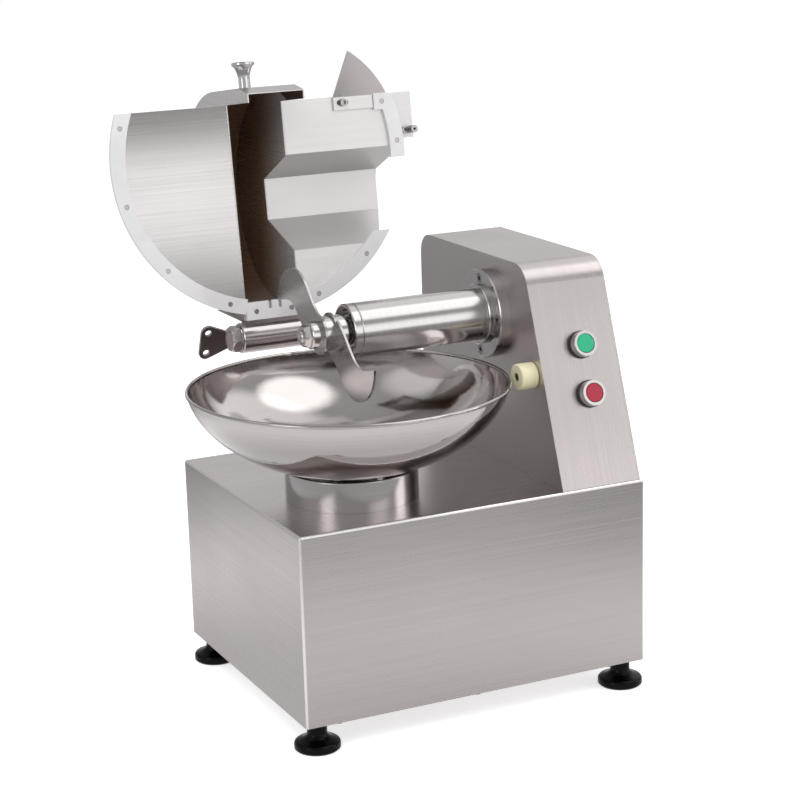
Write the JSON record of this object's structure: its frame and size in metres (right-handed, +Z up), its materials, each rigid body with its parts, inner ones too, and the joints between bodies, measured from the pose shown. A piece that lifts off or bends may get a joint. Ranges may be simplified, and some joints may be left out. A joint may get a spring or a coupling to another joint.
{
  "type": "bowl cutter",
  "caption": "Bench meat bowl cutter: a polished bowl turns under sickle knives on a horizontal spindle, with a stepped hinged lid, a sloping motor head and a box-shaped stainless steel base.",
  "frame": {"origin": "centre of the base box's footprint, at the level of the bench under the feet", "axes": "+X to the motor head on the operator's right, -Y to the operator, +Z up"},
  "size_m": [0.4716, 0.544, 0.6796],
  "materials": {
    "brushed_stainless": "brushed sheet, grain along the length",
    "polished_stainless": "mirror polished",
    "turned_stainless": "fine turned",
    "knife_steel": "ground and honed",
    "screw_steel": "plain stainless",
    "foot_rubber": "smooth black, slightly glossy",
    "white_gasket": "machined white acetal",
    "pale_bush": "turned natural nylon",
    "bronze_bush": "plain bronze",
    "seal_rubber": "matt black",
    "belt_rubber": "matt black",
    "gear_iron": "machined casting",
    "motor_alloy": "die cast, sand finish",
    "rotor_steel": "turned",
    "painted_cover": "grey enamel",
    "bearing_steel": "ground",
    "black_plastic": "moulded",
    "grey_plastic": "moulded",
    "bezel_chrome": "plated",
    "green_lens": "moulded, glossy",
    "red_lens": "moulded, glossy"
  },
  "bodies": {
    "frame": {"base_housing": "brushed_stainless", "bottom_plate": "brushed_stainless", "feet": "foot_rubber", "base_fasteners": "screw_steel", "cable_gland": "black_plastic", "head_housing": "brushed_stainless", "head_side_cover": "brushed_stainless", "head_screws": "screw_steel", "rest_bush": "pale_bush", "pedestal": "turned_stainless", "pedestal_screws": "screw_steel", "gearbox_casing": "gear_iron", "bowl_bearing": "bearing_steel", "motor_body": "motor_alloy", "motor_fan_cover": "painted_cover", "knife_belt": "belt_rubber", "bowl_belt": "belt_rubber", "control_box": "grey_plastic", "spindle_housing": "turned_stainless", "flange_screws": "screw_steel", "spindle_bearings": "bearing_steel", "bearing_cap": "turned_stainless", "cap_screws": "screw_steel", "shaft_seal": "seal_rubber", "pivot_shaft": "turned_stainless", "pivot_collar": "turned_stainless", "pivot_washer": "turned_stainless", "pivot_nut": "turned_stainless", "wing_plate": "turned_stainless", "button_bezels": "bezel_chrome", "button_gaskets": "seal_rubber", "contact_blocks": "black_plastic"},
    "bowl": {"bowl": "polished_stainless", "turntable": "turned_stainless", "bowl_shaft": "turned_stainless", "turntable_screw": "turned_stainless"},
    "knives": {"knife_shaft": "turned_stainless", "back_collar": "turned_stainless", "rear_knife": "knife_steel", "front_knife": "knife_steel", "knife_spacer": "turned_stainless", "front_spacer": "turned_stainless", "knife_nut": "turned_stainless", "knife_pulley": "gear_iron"},
    "motor": {"motor_rotor": "rotor_steel", "motor_pulley": "gear_iron"},
    "worm": {"worm_shaft": "turned_stainless", "worm_pulley": "gear_iron"},
    "lid": {"lid_left_panel": "brushed_stainless", "lid_right_panel": "brushed_stainless", "knife_cover": "brushed_stainless", "knob": "turned_stainless", "lid_hinge": "turned_stainless", "pivot_bushes": "bronze_bush", "lid_gaskets": "white_gasket", "scraper_fin": "turned_stainless", "interlock_plate": "turned_stainless", "lid_screws": "screw_steel"},
    "start_button": {"start_button": "green_lens"},
    "stop_button": {"stop_button": "red_lens"}
  },
  "joints": [
    {"name": "lid_hinge", "type": "hinge", "parent": "frame", "child": "lid", "pos_m": [0, 0.1472, 0.3698], "axis": [1, 0, 0], "range_deg": [0, 97.64]},
    {"name": "knife_spin", "type": "hinge", "parent": "frame", "child": "knives", "pos_m": [0, -0.0043, 0.399], "axis": [1, 0, 0], "continuous": true},
    {"name": "motor_spin", "type": "hinge", "parent": "frame", "child": "motor", "pos_m": [0, 0.08, 0.112], "axis": [1, 0, 0], "continuous": true},
    {"name": "worm_spin", "type": "hinge", "parent": "frame", "child": "worm", "pos_m": [0, -0.1017, 0.15], "axis": [1, 0, 0], "continuous": true},
    {"name": "bowl_spin", "type": "hinge", "parent": "frame", "child": "bowl", "pos_m": [-0.0924, -0.0557, 0], "axis": [0, 0, 1], "continuous": true},
    {"name": "start_press", "type": "slide", "parent": "frame", "child": "start_button", "axis": [0, 0.9435, -0.3313], "range_m": [0, 0.003], "stiffness_N_per_m": 800, "springref_m": -0.001},
    {"name": "stop_press", "type": "slide", "parent": "frame", "child": "stop_button", "axis": [0, 0.9435, -0.3313], "range_m": [0, 0.003], "stiffness_N_per_m": 800, "springref_m": -0.001}
  ],
  "couplings": [
    {"joint": "motor_spin", "follows": "knife_spin", "ratio": 0.9375},
    {"joint": "worm_spin", "follows": "knife_spin", "ratio": 0.9375},
    {"joint": "bowl_spin", "follows": "knife_spin", "ratio": 0.015625}
  ]
}
